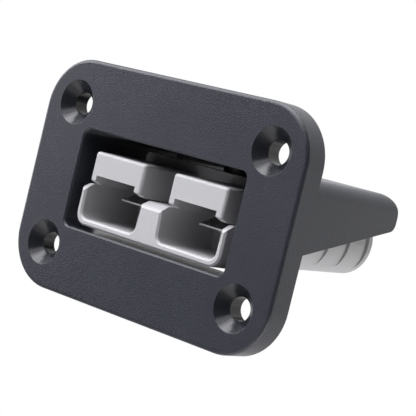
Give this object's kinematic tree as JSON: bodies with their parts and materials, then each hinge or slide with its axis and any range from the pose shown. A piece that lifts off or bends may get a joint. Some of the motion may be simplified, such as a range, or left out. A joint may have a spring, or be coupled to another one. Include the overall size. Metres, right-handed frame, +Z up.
{
  "type": "panel mount battery connector",
  "caption": "Black moulded panel plate with a deep sleeve behind it, holding a light grey genderless two-pole battery connector housing with empty contact cups.",
  "frame": {"origin": "centre of the plate's back face, midway between the four panel screw holes", "axes": "+X to the right seen from the front, +Y into the panel and away from the viewer, +Z up"},
  "size_m": [0.0642, 0.0482, 0.0446],
  "materials": {
    "black_moulding": "fine moulded grain",
    "grey_moulding": "smooth satin moulding",
    "spring_steel": "bright strip",
    "stainless_fastener": "satin stainless steel"
  },
  "bodies": {
    "root": {"mounting_bracket": "black_moulding", "connector_housing": "grey_moulding", "left_leaf_spring": "spring_steel", "right_leaf_spring": "spring_steel", "front_retaining_screw": "stainless_fastener", "rear_retaining_screw": "stainless_fastener", "front_retaining_nut": "stainless_fastener", "rear_retaining_nut": "stainless_fastener"}
  },
  "joints": []
}
